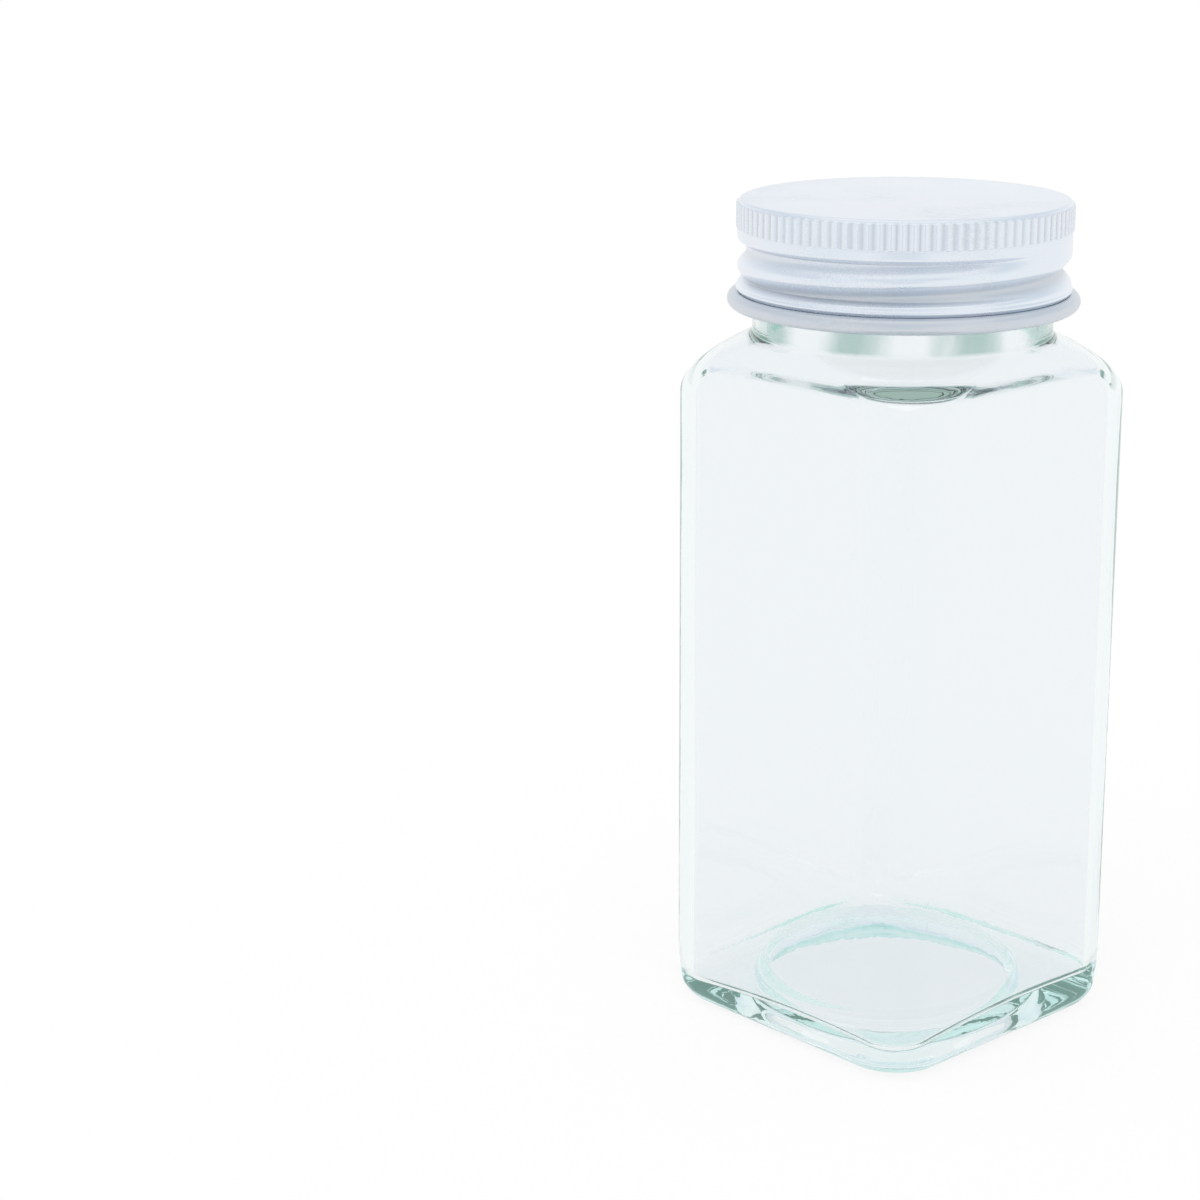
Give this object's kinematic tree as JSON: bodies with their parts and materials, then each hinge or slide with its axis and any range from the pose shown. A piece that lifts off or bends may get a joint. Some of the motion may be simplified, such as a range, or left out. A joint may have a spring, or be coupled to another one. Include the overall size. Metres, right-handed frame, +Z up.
{
  "type": "spice shaker",
  "caption": "Square clear glass spice shaker with rounded shoulders, a plug-in perforated sifter and a knurled metal screw cap that winds up off its thread.",
  "frame": {"origin": "middle of the base, in the plane that the jar stands on", "axes": "+Z up through the neck; +X and +Y square to the flat walls of the body"},
  "size_m": [0.0466, 0.0466, 0.1132],
  "materials": {
    "glass": "clear, fire-polished",
    "sifter_plastic": "natural translucent polypropylene",
    "liner_foam": "foamed polyethylene",
    "cap_metal": "bright, clear-lacquered sheet"
  },
  "bodies": {
    "jar": {"glass_jar": "glass", "sifter_insert": "sifter_plastic"},
    "liner": {"cap_liner": "liner_foam"},
    "cap": {"cap_shell": "cap_metal"}
  },
  "joints": [
    {"name": "cap_lift", "type": "slide", "parent": "jar", "child": "liner", "axis": [0, 0, 1], "range_m": [0, 0.01694]},
    {"name": "cap_turn", "type": "hinge", "parent": "liner", "child": "cap", "pos_m": [0, 0, 0.1132], "axis": [0, 0, 1], "range_deg": [0, 1440]}
  ],
  "couplings": [
    {"joint": "cap_lift", "follows": "cap_turn", "m_per_rad": 0.0006737}
  ]
}
